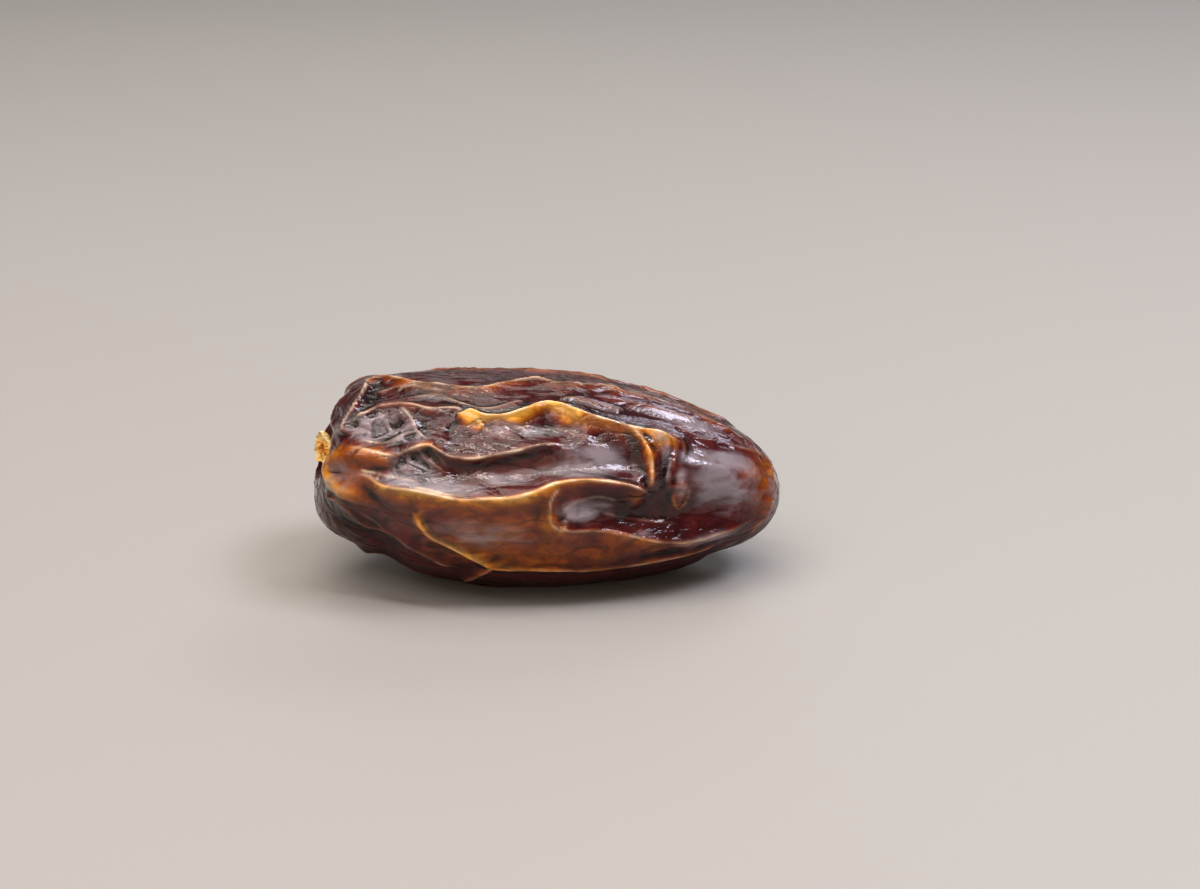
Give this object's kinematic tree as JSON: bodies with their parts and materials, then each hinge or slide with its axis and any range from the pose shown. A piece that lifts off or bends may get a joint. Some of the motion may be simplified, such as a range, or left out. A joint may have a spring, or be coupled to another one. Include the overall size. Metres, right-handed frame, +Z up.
{
  "type": "medjool date",
  "caption": "Dried medjool date lying on its side, with deep lengthwise skin folds and a dry calyx in the stem end.",
  "frame": {"origin": "under the middle of the date's box, on the surface it lies on", "axes": "+X along the fruit from the stem end to the apex, +Z up, and the side that faces -Y is the one the picture shows"},
  "size_m": [0.05, 0.0254, 0.023],
  "materials": {
    "date_skin": "dried fruit skin, glossy, folded, amber on its ridges and dark maroon in its hollows",
    "dry_calyx": "dry straw-coloured calyx, matt, brown round the stalk scar"
  },
  "bodies": {
    "root": {"fruit": "date_skin", "calyx": "dry_calyx"}
  },
  "joints": []
}
